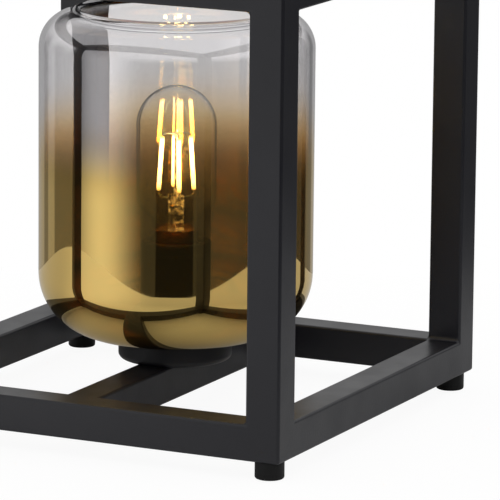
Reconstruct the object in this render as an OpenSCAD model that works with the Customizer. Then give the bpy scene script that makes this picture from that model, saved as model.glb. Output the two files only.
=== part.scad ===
// Lantern table lamp: a cage of square steel tube on four rubber feet. A bar across its
// floor carries a cup, and an open glass jar stands on the cup around a tubular bulb.
// Lengths are in millimetres. Z is up, X runs along the front rail and Y runs away from
// the viewer. The origin is on the table, under the middle of the cage.

/* [Cage] */
// Outside width and depth of the cage
cage_w = 260; // [240:5:320]
// Height of the cage without its feet
cage_h = 260; // [245:5:320]
// Side of the square tube
tube_w = 20; // [20:1:25]
// Wall of the square tube
tube_t = 1.5; // [1:0.1:2]
// Outer corner radius of the square tube
tube_r = 1.5; // [0.8:0.1:2]
// Plate that closes each end of a post
end_t = 3; // [2:0.5:5]
// Radius of the weld in each inner corner
weld_r = 2.5; // [1:0.5:4]

/* [Feet] */
// Diameter of each foot
foot_d = 16; // [14:1:20]
// Height of each foot
foot_h = 10; // [8:0.5:15]
// Rounding of each foot's lower edge
foot_r = 1.2; // [0.5:0.1:2]
// Diameter of the screw in each foot
foot_screw_d = 4; // [3:0.5:5]
// Length of that screw under its head
foot_screw_l = 14; // [12:1:20]

/* [Lamp on the bar] */
// How far the crossbar and the lamp on it stand right of the cage's middle
lamp_x = 3; // [0:0.5:8]
// Outside diameter of the threaded tube that clamps the lamp to the bar
nipple_d = 10; // [9:0.5:10]
// Bore of the threaded tube
nipple_bore = 7.5; // [6:0.5:8]
// Height of each nut on the threaded tube
nut_h = 4; // [3:0.5:5]
// Thickness of the washer under the upper nut
washer_t = 1; // [0.8:0.1:1.5]

/* [Cup and gaskets] */
// Outside diameter of the cup
cup_d = 64; // [58:1:76]
// Height of the cup
cup_h = 12; // [11:0.5:16]
// Wall of the cup
cup_t = 1.5; // [1:0.1:2.5]
// Rounding of the cup's lower edge
cup_r = 3; // [2.6:0.1:5]
// Thickness of the gasket between the cup and the jar
gasket_t = 1.5; // [1:0.1:3]
// Thickness of the gasket between the jar and the clamping ring
ring_gasket_t = 1.5; // [1:0.1:3]

/* [Jar] */
// Diameter of the jar's straight wall
jar_d = 154; // [145:1:170]
// Height of the jar
jar_h = 185; // [175:1:195]
// Thickness of the glass
jar_t = 3; // [2:0.1:4]
// Thickness of the jar's floor
floor_t = 4; // [3:0.1:6]
// Radius where the wall turns into the floor
base_r = 36; // [25:1:38]
// Radius of the shoulder
shoulder_r = 20; // [15:1:24]
// Outside diameter of the rolled rim
rim_d = 117; // [108:1:120]
// Thickness of the rolled rim
rim_t = 5; // [4:0.1:6]
// Play around the lampholder in the jar's floor
hole_gap = 1.5; // [1:0.1:3]

/* [Lampholder] */
// Outside diameter of the sleeve
sleeve_d = 39.5; // [38:0.5:42]
// Wall of the sleeve
sleeve_t = 2.4; // [1.8:0.1:2.8]
// How far the base is wider than the sleeve, on each side
base_step = 0.75; // [0.5:0.05:1.5]
// Wall of the base
base_t = 2; // [1.5:0.1:2.5]
// Floor of the base
base_floor_t = 3; // [2:0.1:4]
// How far the base reaches up inside the sleeve
spigot_h = 12.5; // [9:0.5:16]
// Height of the ceramic core
core_h = 16; // [12:0.5:20]
// Height of the screw shell
shell_h = 19; // [16:0.5:24]
// Metal thickness of the screw shell
shell_t = 0.6; // [0.4:0.1:1]
// Lip at the top of the sleeve
lip_t = 2; // [1.5:0.1:3]
// Diameter of the clamping ring
ring_d = 56; // [52:1:60]
// Height of the clamping ring
ring_h = 8; // [6:0.5:12]
// Thickness of the clamping ring's flange
ring_flange_t = 2.5; // [2:0.1:4]
// Number of grip ribs on the clamping ring
ring_ribs = 24; // [12:2:30]

/* [Bulb] */
// Diameter of the bulb's glass
bulb_d = 45; // [40:1:55]
// Height of the bulb's glass above its cap
bulb_h = 80.5; // [75:0.5:92]
// Thickness of the bulb's glass
bulb_t = 1; // [0.8:0.1:1.5]
// Outer diameter of the cap's thread
thread_d = 26.2; // [26:0.05:26.4]
// Depth of the thread
thread_depth = 1; // [0.7:0.05:1.2]
// Rise of the thread in one turn
thread_pitch = 3.6; // [3:0.1:4]
// Height of the cap's threaded part
thread_h = 13.6; // [11:0.2:14]
// Height of the cap's plain skirt
skirt_h = 7; // [5:0.5:10]
// Height of the black glass that insulates the tip
insulator_h = 4.6; // [3.5:0.1:6]
// Height of the contact at the tip
tip_h = 1.2; // [0.8:0.1:2]
// Number of filaments
filaments = 4; // [3:1:6]
// Length of each filament
filament_l = 31; // [26:0.5:38]
// Thickness of each filament
filament_d = 2.5; // [1.6:0.1:2.6]
// Distance of the filaments' lower ends from the bulb's axis
filament_low_r = 10; // [8:0.5:12]
// Distance of the filaments' upper ends from the bulb's axis
filament_high_r = 8; // [6:0.5:10]
// Height of the filaments' lower ends above the cap
filament_z = 21; // [19:0.5:26]
// Direction of the first filament
filament_turn = 36; // [0:1:89]

/* [Lead outlet] */
// Bore of the bush under the back rail
bush_bore = 6.5; // [5:0.5:7]
// Wall of the bush
bush_t = 1.4; // [1:0.1:1.8]
// Thickness of the bush's flange
bush_flange_t = 1.5; // [1:0.1:2.5]

/* [Hidden] */
$fn = 72;

// Clearances
thread_gap = 0.1;   // between a screw and its nut
slip_gap = 0.15;    // between two pieces that push together
run_gap = 0.35;     // between two pieces that move past each other
eps = 0.5;          // how far a cutter passes the face that it cuts

// Cage
rail_l = cage_w - 2 * tube_w;
corner = (cage_w - tube_w) / 2;
bore_w = tube_w - 2 * tube_t;
cage_top = foot_h + cage_h;
bar_top = foot_h + tube_w;

// The pieces above the bar, from the bar upwards
cup_floor = bar_top + cup_t;
nut_z = cup_floor + washer_t;
holder_z = nut_z + nut_h;
cup_top = bar_top + cup_h;
jar_z = cup_top + gasket_t;
jar_floor = jar_z + floor_t;
ring_z = jar_floor + ring_gasket_t;
spigot_top = jar_floor + spigot_h;
core_top = spigot_top + core_h;
lip_z = core_top + shell_h;
holder_top = lip_z + lip_t;

// Radii about the lamp's axis
nipple_r = nipple_d / 2;
nut_r = nipple_r + 2.5;
washer_r = nut_r + 2;
nipple_end = 2;     // how far the threaded tube passes the lower nut
cup_rad = cup_d / 2;
gasket_w = 2;
gasket_leg = 3;
jar_r = jar_d / 2;
rim_r = rim_d / 2 - rim_t / 2;
sleeve_r = sleeve_d / 2;
sleeve_bore = sleeve_r - sleeve_t;
base_rad = sleeve_r + base_step;
spigot_r = sleeve_bore - slip_gap;
hole_r = base_rad + hole_gap;
cup_rim = cup_rad - cup_t;
boss_t = 3;
boss_r = nipple_r + boss_t;
boss_h = 11;
shell_r = thread_d / 2 + run_gap;
lip_play = 0.5;
lip_r = shell_r + shell_t + lip_play;
contact_h = 2;
contact_t = 0.5;
contact_w = 6;
contact_l = 9;

// Terminals, below the core on both sides of the axis
terminal_x = 9.5;
terminal_w = 5;
terminal_l = 7;
terminal_h = 7;
terminal_screw_r = 1.5;
terminal_head_r = 2.5;
terminal_head_h = 1.5;
terminal_slot_w = 0.6;
terminal_slot_h = 0.6;
recess_h = core_h / 3;
recess_edge = 2;
terminal_top = spigot_top + recess_h;

// Threaded tube
nipple_low = bar_top - tube_t - nut_h - nipple_end;
nipple_high = holder_z + boss_h - 1;

// Ring
ring_r = ring_d / 2;
ring_bore = sleeve_r + run_gap;
ring_hub_t = 3;
ring_hub_r = ring_bore + ring_hub_t;
ring_gasket_in = 1;  // how far the gasket stays inside the ring's edge
rib_r = 0.9;

// Bulb, from its tip upwards
tip_z = core_top + contact_h;
insulator_z = tip_z + tip_h;
thread_z = insulator_z + insulator_h;
skirt_z = thread_z + thread_h;
cap_top = skirt_z + skirt_h;
thread_r = thread_d / 2;
cap_t = 0.6;
cap_bore = thread_r - thread_depth - cap_t;
tip_r = 4;
tip_low_r = 2.6;
insulator_low_r = 5;
plug_h = 2;         // how far the insulator reaches up into the cap
bulb_r = bulb_d / 2;
neck_in = 0.7;      // how much narrower the glass neck is than the cap
neck_r = thread_r - neck_in;
neck_seat = 1;
neck_z = skirt_z + neck_seat;
neck_h = 2;
swell_h = 14;
neck_steps = 10;
dome_steps = 16;
bulb_top = cap_top + bulb_h;
stem_r = 4.2;
stem_t = 0.9;
flare_t = 1;
press_in = 2.6;     // how far the pinch of the stem ends below the filaments
press_z = cap_top + filament_z - press_in;
press_h = 8;
rod_r = 1.1;
bead_r = 1.8;
wire_r = 0.4;
wire_gap = 0.1;
wire_end_gap = 0.15;
filament_lean = asin((filament_low_r - filament_high_r) / filament_l);
filament_rise = filament_l * cos(filament_lean);
filament_base = cap_top + filament_z;
filament_top = filament_base + filament_rise;
wire_low_z = press_z - 3 * wire_r;
wire_high_z = filament_top + 4 * wire_r;

// Lead outlet
bush_r = bush_bore / 2 + bush_t;
bush_flange_r = bush_r + 2;
lead_hole_r = bush_r + 0.5;

// Foot screw
screw_r = foot_screw_d / 2;
head_r = screw_r * 1.9;
head_h = screw_r * 1.2;
head_z = foot_h / 2;

steel_black = "#2b2b2e";
rubber_black = "#151516";
plastic_black = "#101011";
zinc = "#c9c9cc";
brass = "#c39a4c";

// ---- shared shapes -------------------------------------------------------

// A rectangle about the origin with round corners
module round_rect(w, h, r) {
    square([w - 2 * r, h], center = true);
    square([w, h - 2 * r], center = true);
    for (sx = [-1, 1], sy = [-1, 1])
        translate([sx * (w / 2 - r), sy * (h / 2 - r)]) circle(r, $fn = 24);
}

// A ring about the Z axis
module pipe(r, bore, h) {
    difference() {
        cylinder(h = h, r = r);
        translate([0, 0, -eps]) cylinder(h = h + 2 * eps, r = bore);
    }
}

// A hexagonal nut with its bore
module hex_nut(r, bore, h) {
    difference() {
        cylinder(h = h, r = r, $fn = 6);
        translate([0, 0, -eps]) cylinder(h = h + 2 * eps, r = bore);
    }
}

// A length of the square tube along X, centred on its own axis
module square_tube(l) {
    rotate([90, 0, 90]) linear_extrude(l, center = true) difference() {
        round_rect(tube_w, tube_w, tube_r);
        square(bore_w, center = true);
    }
}

// ---- cage ----------------------------------------------------------------

// The weld that rounds the inner corner between a post and a rail, along Y
module weld_fillet() {
    rotate([90, 0, 0]) linear_extrude(tube_w - 2 * tube_r, center = true) difference() {
        square(weld_r);
        translate([weld_r, weld_r]) circle(weld_r, $fn = 24);
    }
}

// The four fillets of a post whose two neighbours lie towards +X and +Y
module post_welds() {
    for (turn = [0, 1]) mirror([turn, -turn, 0]) {
        translate([tube_w / 2, 0, bar_top]) weld_fillet();
        translate([tube_w / 2, 0, cage_top - tube_w]) mirror([0, 0, 1]) weld_fillet();
    }
}

// The front left post, on its own axis. Its ends are ground flush with the rails, so the
// rounding of its inner edges stops where the rails meet it.
module post_blank() {
    half = tube_w / 2;
    intersection() {
        union() {
            translate([0, 0, bar_top]) linear_extrude(cage_h - 2 * tube_w) round_rect(tube_w, tube_w, tube_r);
            for (z = [foot_h, cage_top - tube_w])
                translate([-half, -half, z]) cube(tube_w);
        }
        translate([cage_w / 2 - half, cage_w / 2 - half, foot_h])
            linear_extrude(cage_h) round_rect(cage_w, cage_w, tube_r);
        translate([cage_w / 2 - half, 0, foot_h + cage_h / 2])
            rotate([90, 0, 0]) linear_extrude(2 * tube_w, center = true) round_rect(cage_w, cage_h, tube_r);
        translate([0, cage_w / 2 - half, foot_h + cage_h / 2])
            rotate([90, 0, 90]) linear_extrude(2 * tube_w, center = true) round_rect(cage_w, cage_h, tube_r);
    }
}

module post(sx, sy) {
    color(steel_black) translate([sx * corner, sy * corner, 0])
        mirror([sx > 0 ? 1 : 0, 0, 0]) mirror([0, sy > 0 ? 1 : 0, 0]) union() {
            difference() {
                post_blank();
                translate([-bore_w / 2, -bore_w / 2, foot_h + end_t]) cube([bore_w, bore_w, cage_h - 2 * end_t]);
                translate([0, 0, foot_h - eps]) cylinder(h = end_t + 2 * eps, r = screw_r + thread_gap);
            }
            post_welds();
        }
}

// A rail between two posts: along X at the front, then turned about Z to its side
module rail(turn, z) {
    color(steel_black) rotate([0, 0, turn]) translate([0, -corner, z + tube_w / 2]) square_tube(rail_l);
}

// The back rail lets the leads in from the crossbar and out through the bush
module back_rail() {
    color(steel_black) difference() {
        rail(180, foot_h);
        translate([lamp_x, corner, bar_top - tube_w / 2]) rotate([90, 0, 0])
            cylinder(h = tube_w / 2 + eps, r = lead_hole_r);
        translate([lamp_x, corner, foot_h - eps]) cylinder(h = tube_t + 2 * eps, r = bush_r + slip_gap);
    }
}

module crossbar() {
    color(steel_black) translate([lamp_x, 0, 0]) difference() {
        translate([0, 0, bar_top - tube_w / 2]) rotate([0, 0, 90]) square_tube(rail_l);
        translate([0, 0, bar_top - tube_t - eps]) cylinder(h = tube_t + 2 * eps, r = nipple_r + slip_gap);
    }
}

// ---- feet ----------------------------------------------------------------

module foot(sx, sy) {
    color(rubber_black) translate([sx * corner, sy * corner, 0]) difference() {
        rotate_extrude() union() {
            translate([0, foot_r]) square([foot_d / 2, foot_h - foot_r]);
            square([foot_d / 2 - foot_r, foot_h]);
            translate([foot_d / 2 - foot_r, foot_r]) circle(foot_r, $fn = 24);
        }
        translate([0, 0, -eps]) cylinder(h = head_z + eps, r = head_r + run_gap);
        translate([0, 0, -eps]) cylinder(h = foot_h + 2 * eps, r = screw_r + slip_gap);
    }
}

module foot_screw() {
    difference() {
        union() {
            translate([0, 0, head_z - head_h]) cylinder(h = head_h, r = head_r);
            translate([0, 0, head_z - eps]) cylinder(h = foot_screw_l + eps, r = screw_r);
        }
        for (turn = [0, 90]) rotate([0, 0, turn])
            translate([0, 0, head_z - head_h]) cube([head_r, screw_r / 3, head_h], center = true);
    }
}

module foot_screws() {
    color(zinc) for (sx = [-1, 1], sy = [-1, 1])
        translate([sx * corner, sy * corner, 0]) foot_screw();
}

// ---- lead outlet and clamping of the lamp -----------------------------------

module lead_bush() {
    collar_h = tube_t + 3;
    color(plastic_black) translate([lamp_x, corner, foot_h]) difference() {
        union() {
            translate([0, 0, -bush_flange_t]) cylinder(h = bush_flange_t, r = bush_flange_r);
            translate([0, 0, -eps]) cylinder(h = collar_h + eps, r = bush_r);
        }
        translate([0, 0, -bush_flange_t - eps])
            cylinder(h = bush_flange_t + collar_h + 2 * eps, r = bush_bore / 2);
    }
}

module bar_nut() {
    color(zinc) translate([lamp_x, 0, bar_top - tube_t - nut_h])
        hex_nut(nut_r, nipple_r + thread_gap, nut_h);
}

module threaded_tube() {
    color(zinc) translate([lamp_x, 0, nipple_low]) pipe(nipple_r, nipple_bore / 2, nipple_high - nipple_low);
}

module lock_washer() {
    color(zinc) translate([lamp_x, 0, cup_floor]) pipe(washer_r, nipple_r + slip_gap, washer_t);
}

module lock_nut() {
    color(zinc) translate([lamp_x, 0, nut_z]) hex_nut(nut_r, nipple_r + thread_gap, nut_h);
}

// ---- cup, gaskets and jar --------------------------------------------------

// Half of a round dish with a rolled lower edge, drawn from the axis outwards
module dish_half(r, h, edge) {
    translate([0, edge]) square([r, h - edge]);
    square([r - edge, h]);
    translate([r - edge, edge]) circle(edge);
}

module seat_cup() {
    color(steel_black) translate([lamp_x, 0, bar_top]) rotate_extrude() difference() {
        dish_half(cup_rad, cup_h, cup_r);
        translate([0, cup_t]) dish_half(cup_rim, cup_h, cup_r - cup_t);
        translate([0, -eps]) square([nipple_r + slip_gap, cup_t + 2 * eps]);
    }
}

// Its flat top seals against the glass and its leg grips the inside of the cup
module jar_gasket() {
    leg_r = cup_rim - slip_gap;
    color(rubber_black) translate([lamp_x, 0, cup_top]) rotate_extrude() union() {
        translate([cup_rim - gasket_w, 0]) square([cup_t + gasket_w, gasket_t]);
        translate([leg_r - gasket_w, -gasket_leg]) square([gasket_w, gasket_leg + gasket_t / 2]);
    }
}

// Half of a jar's outline: flat floor, round base, straight wall and round shoulder
module jar_half(r, h, low, high) {
    translate([0, low]) square([r, h - low - high]);
    square([r - low, h - high]);
    translate([0, low]) square([r - high, h - low]);
    translate([r - low, low]) circle(low, $fn = 96);
    translate([r - high, h - high]) circle(high, $fn = 96);
}

module glass_jar() {
    body_h = jar_h - rim_t + jar_t;
    color("#a8935a", 0.6) translate([lamp_x, 0, jar_z]) rotate_extrude($fn = 120) union() {
        difference() {
            jar_half(jar_r, body_h, base_r, shoulder_r);
            translate([0, floor_t])
                jar_half(jar_r - jar_t, body_h - floor_t - jar_t, base_r - jar_t, shoulder_r - jar_t);
            translate([0, -eps]) square([hole_r, floor_t + 2 * eps]);
            translate([0, body_h - 2 * jar_t]) square([rim_r, 3 * jar_t]);
        }
        translate([rim_r, jar_h - rim_t / 2]) circle(rim_t / 2, $fn = 32);
    }
}

module ring_gasket() {
    color(rubber_black) translate([lamp_x, 0, jar_floor]) pipe(ring_r - ring_gasket_in, hole_r, ring_gasket_t);
}

// It screws down the sleeve and presses the jar onto the cup
module clamping_ring() {
    color(plastic_black) translate([lamp_x, 0, ring_z]) difference() {
        union() {
            cylinder(h = ring_flange_t, r = ring_r);
            cylinder(h = ring_h, r = ring_hub_r);
            for (i = [0 : ring_ribs - 1])
                rotate([0, 0, i * 360 / ring_ribs]) translate([ring_hub_r, 0, ring_flange_t / 2])
                    cylinder(h = ring_h - ring_flange_t / 2, r = rib_r, $fn = 16);
        }
        translate([0, 0, -eps]) cylinder(h = ring_h + 2 * eps, r = ring_bore);
    }
}

// ---- lampholder --------------------------------------------------------------

// A cup with a boss for the threaded tube and a spigot that the sleeve screws onto
module holder_base() {
    outer_h = jar_floor - holder_z;
    full_h = spigot_top - holder_z;
    bore_r = spigot_r - base_t;
    color(plastic_black) translate([lamp_x, 0, holder_z]) difference() {
        union() {
            difference() {
                union() {
                    cylinder(h = outer_h, r = base_rad);
                    cylinder(h = full_h, r = spigot_r);
                }
                translate([0, 0, base_floor_t]) cylinder(h = full_h, r = bore_r);
            }
            cylinder(h = boss_h, r = boss_r);
        }
        translate([0, 0, -eps]) cylinder(h = boss_h + 2 * eps, r = nipple_r + thread_gap);
    }
}

module holder_sleeve() {
    h = holder_top - jar_floor;
    edge = lip_t / 2;
    color(plastic_black) translate([lamp_x, 0, jar_floor]) difference() {
        union() {
            cylinder(h = h - edge, r = sleeve_r);
            translate([0, 0, h - edge]) cylinder(h = edge, r1 = sleeve_r, r2 = sleeve_r - edge);
        }
        translate([0, 0, -eps]) cylinder(h = h - lip_t + eps, r = sleeve_bore);
        cylinder(h = h + eps, r = lip_r);
    }
}

module holder_core() {
    color("#e6e2d8") translate([lamp_x, 0, spigot_top]) difference() {
        cylinder(h = core_h, r = spigot_r);
        translate([0, 0, -eps]) cylinder(h = recess_h + eps, r = spigot_r - base_t - recess_edge);
    }
}

module terminals() {
    color(brass) for (sx = [-1, 1]) translate([lamp_x + sx * terminal_x, 0, terminal_top - terminal_h]) difference() {
        translate([-terminal_w / 2, -terminal_l / 2, 0]) cube([terminal_w, terminal_l, terminal_h]);
        translate([0, terminal_l / 5, -eps]) cylinder(h = terminal_h * 0.7, r = terminal_screw_r);
        translate([0, 0, terminal_h / 3]) rotate([90, 0, 0])
            cylinder(h = terminal_l, r = terminal_screw_r + thread_gap);
    }
}

// Each screw goes in from the front of its terminal, with its slot upright
module terminal_screws() {
    inside = terminal_l / 2 - eps;
    color(zinc) for (sx = [-1, 1])
        translate([lamp_x + sx * terminal_x, -terminal_l / 2, terminal_top - terminal_h * 2 / 3]) rotate([90, 0, 0])
            difference() {
                union() {
                    cylinder(h = terminal_head_h, r = terminal_head_r);
                    translate([0, 0, -inside]) cylinder(h = inside + eps, r = terminal_screw_r);
                }
                translate([0, 0, terminal_head_h])
                    cube([terminal_slot_w, 2 * terminal_head_r + eps, 2 * terminal_slot_h], center = true);
            }
}

module screw_shell() {
    color(brass) translate([lamp_x, 0, core_top]) difference() {
        union() {
            cylinder(h = shell_h, r = shell_r + shell_t);
            translate([0, 0, shell_h - shell_t]) cylinder(h = shell_t, r = sleeve_bore - slip_gap);
        }
        translate([0, 0, -eps]) cylinder(h = shell_h + 2 * eps, r = shell_r);
    }
}

// A leaf that rises to meet the tip of the bulb
module centre_contact() {
    rise = contact_h - contact_t;
    color(brass) translate([lamp_x, 0, core_top]) rotate([90, 0, 0]) linear_extrude(contact_w, center = true)
        polygon([
            [-contact_l, 0], [-contact_l / 2, 0], [-contact_l / 4, rise], [contact_l / 3, rise],
            [contact_l / 3, contact_h], [-contact_l / 3, contact_h], [-contact_l * 0.6, contact_t], [-contact_l, contact_t]
        ]);
}

// ---- bulb --------------------------------------------------------------------

// The knuckle thread's outline, from the root out to the crest and back, one turn after another
module thread_half() {
    crest_r = thread_pitch / 4;
    root_r = thread_r - thread_depth;
    square([root_r, thread_h + eps]);
    for (turn = [0 : floor(thread_h / thread_pitch) - 1])
        translate([thread_r - crest_r, crest_r + turn * thread_pitch]) circle(crest_r, $fn = 24);
}

module bulb_cap() {
    color(brass) translate([lamp_x, 0, 0]) rotate_extrude() difference() {
        union() {
            translate([0, thread_z]) thread_half();
            translate([0, skirt_z]) square([thread_r, skirt_h]);
        }
        translate([0, thread_z - eps]) square([cap_bore, cap_top - thread_z + 2 * eps]);
        translate([0, neck_z]) square([neck_r + slip_gap, cap_top - neck_z + eps]);
    }
}

module bulb_insulator() {
    color(plastic_black) translate([lamp_x, 0, insulator_z]) union() {
        cylinder(h = insulator_h, r1 = insulator_low_r, r2 = cap_bore);
        translate([0, 0, insulator_h - eps]) cylinder(h = plug_h + eps, r = cap_bore - slip_gap);
    }
}

module bulb_tip() {
    color(zinc) translate([lamp_x, 0, tip_z]) cylinder(h = tip_h, r1 = tip_low_r, r2 = tip_r);
}

// The glass outline from the neck up to the top of the dome, inset by a wall
function bulb_outline(inset) = concat(
    [[neck_r - inset, neck_z]],
    [for (i = [0 : neck_steps]) let (t = i / neck_steps)
        [neck_r - inset + (bulb_r - neck_r) * (1 - cos(180 * t)) / 2, cap_top + neck_h + swell_h * t]],
    [for (i = [0 : dome_steps - 1]) let (a = 90 * i / dome_steps)
        [(bulb_r - inset) * cos(a), bulb_top - bulb_r + (bulb_r - inset) * sin(a)]],
    [[0, bulb_top - inset]]
);

function reversed(list) = [for (i = [len(list) - 1 : -1 : 0]) list[i]];

module bulb_glass() {
    color("#e8dcc0", 0.4) translate([lamp_x, 0, 0]) rotate_extrude()
        polygon(concat(bulb_outline(0), reversed(bulb_outline(bulb_t))));
}

// A flared tube, pinched shut above, with a rod that carries the upper wires
module bulb_stem() {
    flare_r = neck_r - bulb_t - wire_gap;
    pinch_z = press_z - press_h;
    color("#dfe6e4", 0.5) translate([lamp_x, 0, 0]) union() {
        rotate_extrude() polygon([
            [stem_r - stem_t, neck_z], [flare_r, neck_z], [flare_r, neck_z + flare_t],
            [stem_r + 2 * flare_t, neck_z + 2 * flare_t], [stem_r, neck_z + 5 * flare_t],
            [stem_r, press_z - flare_t], [stem_r - flare_t, press_z], [rod_r, press_z],
            [rod_r, wire_high_z], [0, wire_high_z], [0, pinch_z], [stem_r - stem_t, pinch_z - stem_t]
        ]);
        translate([0, 0, wire_high_z]) sphere(bead_r);
    }
}

// Turns its children to each filament's side of the bulb
module each_filament() {
    for (i = [0 : filaments - 1])
        translate([lamp_x, 0, 0]) rotate([0, 0, filament_turn + i * 360 / filaments]) children();
}

module filament_rods() {
    color("#ffd27a") each_filament() translate([filament_low_r, 0, filament_base])
        rotate([0, -filament_lean, 0]) cylinder(h = filament_l, r = filament_d / 2, $fn = 24);
}

// A wire along X from the axis side outwards, with an end that turns up or down
module elbow_wire(start, reach, z, end_z) {
    translate([start, 0, z]) rotate([0, 90, 0]) cylinder(h = reach - start, r = wire_r, $fn = 16);
    translate([reach, 0, min(z, end_z)]) cylinder(h = abs(end_z - z), r = wire_r, $fn = 16);
    translate([reach, 0, z]) sphere(wire_r, $fn = 16);
}

module filament_wires() {
    color(zinc) each_filament() {
        elbow_wire(stem_r + wire_gap, filament_low_r, wire_low_z, filament_base - wire_end_gap);
        elbow_wire(bead_r + wire_gap, filament_high_r, wire_high_z, filament_top + wire_end_gap);
    }
}

post(-1, -1);  // post_front_left
post(1, -1);  // post_front_right
post(-1, 1);  // post_back_left
post(1, 1);  // post_back_right
rail(0, foot_h);  // bottom_rail_front
back_rail();  // bottom_rail_back
rail(270, foot_h);  // bottom_rail_left
rail(90, foot_h);  // bottom_rail_right
rail(0, cage_top - tube_w);  // top_rail_front
rail(180, cage_top - tube_w);  // top_rail_back
rail(270, cage_top - tube_w);  // top_rail_left
rail(90, cage_top - tube_w);  // top_rail_right
crossbar();
foot(-1, -1);  // foot_front_left
foot(1, -1);  // foot_front_right
foot(-1, 1);  // foot_back_left
foot(1, 1);  // foot_back_right
foot_screws();
lead_bush();
bar_nut();
threaded_tube();
lock_washer();
lock_nut();
seat_cup();
jar_gasket();
glass_jar();
ring_gasket();
clamping_ring();
holder_base();
holder_sleeve();
holder_core();
screw_shell();
centre_contact();
terminals();
terminal_screws();
bulb_glass();
bulb_cap();
bulb_insulator();
bulb_tip();
bulb_stem();
filament_rods();
filament_wires();
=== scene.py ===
"""Lantern table lamp: the finished look of a caged glass lamp, built around its packed construction.

The pieces that show most are worked out here: the cage as a body of boxes and the rest as surfaces on
grids. The small fittings are the construction's own solids, which only get a finish. Lengths are in
metres, in the frame of the construction: Z is up, X runs along the front rail and Y runs away from the
viewer.
"""
import math

import bmesh
import bpy
import numpy as np
from mathutils import Matrix, Vector


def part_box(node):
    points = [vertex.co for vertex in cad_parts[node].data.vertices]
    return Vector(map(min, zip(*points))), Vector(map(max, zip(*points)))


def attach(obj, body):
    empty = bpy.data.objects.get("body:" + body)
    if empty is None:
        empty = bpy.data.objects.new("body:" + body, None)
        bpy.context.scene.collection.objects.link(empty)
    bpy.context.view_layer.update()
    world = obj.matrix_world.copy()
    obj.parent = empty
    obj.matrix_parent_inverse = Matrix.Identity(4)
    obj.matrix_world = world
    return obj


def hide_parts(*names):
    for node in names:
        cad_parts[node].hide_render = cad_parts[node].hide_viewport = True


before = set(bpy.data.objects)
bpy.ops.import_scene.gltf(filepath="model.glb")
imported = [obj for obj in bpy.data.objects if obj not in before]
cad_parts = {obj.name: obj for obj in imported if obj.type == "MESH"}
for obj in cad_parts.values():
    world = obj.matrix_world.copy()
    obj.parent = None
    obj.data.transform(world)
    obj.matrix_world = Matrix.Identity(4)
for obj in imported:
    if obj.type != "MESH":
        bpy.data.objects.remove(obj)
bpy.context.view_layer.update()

bl_info = {
    "name": "Lantern Table Lamp",
    "version": (1, 0, 0),
    "blender": (4, 5, 0),
    "location": "3D View > Sidebar > Lamp",
    "description": "Builds a caged table lamp with a metallised glass jar around its construction",
    "category": "Add Mesh",
}

MM = 0.001
TURN = 2 * math.pi
WHITE = (1.0, 1.0, 1.0, 1.0)
HOLD_FROM = 6 * MM      # stretches of an outline longer than this get holding points
HOLD_IN = 0.45 * MM     # how far those stand inside its ends


# ---- places taken from the construction ------------------------------------------

def span(node):
    """Lowest and highest corner of a node, in metres."""
    low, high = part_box(node)
    return np.array(low), np.array(high)


def round_span(node):
    """Lowest and highest corner of a round node, and its radius."""
    low, high = span(node)
    return low, high, (high[0] - low[0]) / 2


JAR_LOW, JAR_HIGH, JAR_R = round_span("glass_jar")
LAMP_X = (JAR_LOW[0] + JAR_HIGH[0]) / 2
CAGE_TUBES = ("post_", "bottom_rail_", "top_rail_", "crossbar")
CAGE_NODES = [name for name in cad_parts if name.startswith(CAGE_TUBES)]
FOOT_NODES = ["foot_front_left", "foot_front_right", "foot_back_left", "foot_back_right"]


# ---- surfaces --------------------------------------------------------------------

def equal_turns(count):
    """Equal steps round one turn, in radians."""
    return np.arange(count) * TURN / count


def arc(cx, cz, r, start, end, count):
    """Points on a circle: (cx + r cos a, cz + r sin a) for count angles a from start to end, in degrees."""
    a = np.radians(np.linspace(start, end, count))
    return np.stack([cx + r * np.cos(a), cz + r * np.sin(a)], axis=1)


def join(*parts):
    """One outline from points and runs of points."""
    return np.concatenate([np.atleast_2d(np.asarray(p, float)) for p in parts])


def surface(name, grid, loop_u=True, loop_v=True, smooth_angle=35.0):
    """A mesh over a grid of points (u, v, xyz). Neighbours (i, j), (i+1, j), (i+1, j+1), (i, j+1) make a
    face, and a looped direction joins its last row to its first. Points that meet are merged."""
    m, n = grid.shape[:2]
    rows = np.arange(m if loop_u else m - 1)
    columns = np.arange(n if loop_v else n - 1)
    i, j = np.meshgrid(rows, columns, indexing="ij")
    i, j = i.ravel(), j.ravel()
    i2, j2 = (i + 1) % m, (j + 1) % n
    faces = np.stack([i * n + j, i2 * n + j, i2 * n + j2, i * n + j2], axis=1)
    mesh = bpy.data.meshes.new(name)
    mesh.from_pydata(grid.reshape(-1, 3), [], faces.tolist())
    return tidy(mesh, smooth_angle)


def tidy(mesh, smooth_angle=35.0):
    """Merges points that meet, turns the faces outwards and shades smooth across edges under an angle."""
    bm = bmesh.new()
    bm.from_mesh(mesh)
    bmesh.ops.remove_doubles(bm, verts=bm.verts, dist=1e-7)
    bmesh.ops.recalc_face_normals(bm, faces=bm.faces)
    bm.to_mesh(mesh)
    bm.free()
    mesh.polygons.foreach_set("use_smooth", np.ones(len(mesh.polygons), bool))
    mesh.set_sharp_from_angle(angle=math.radians(smooth_angle))
    mesh.update()
    return mesh


def held(outline):
    """The outline with a point just inside both ends of each long stretch, at a + (b - a) h / |b - a| and
    at b - (b - a) h / |b - a|, so that smooth shading leaves the stretch straight."""
    points = []
    for a, b in zip(outline, np.roll(outline, -1, axis=0)):
        points.append(a)
        reach = np.linalg.norm(b - a)
        if reach > HOLD_FROM:
            step = (b - a) * HOLD_IN / reach
            points += [a + step, b - step]
    return np.array(points)


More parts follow.
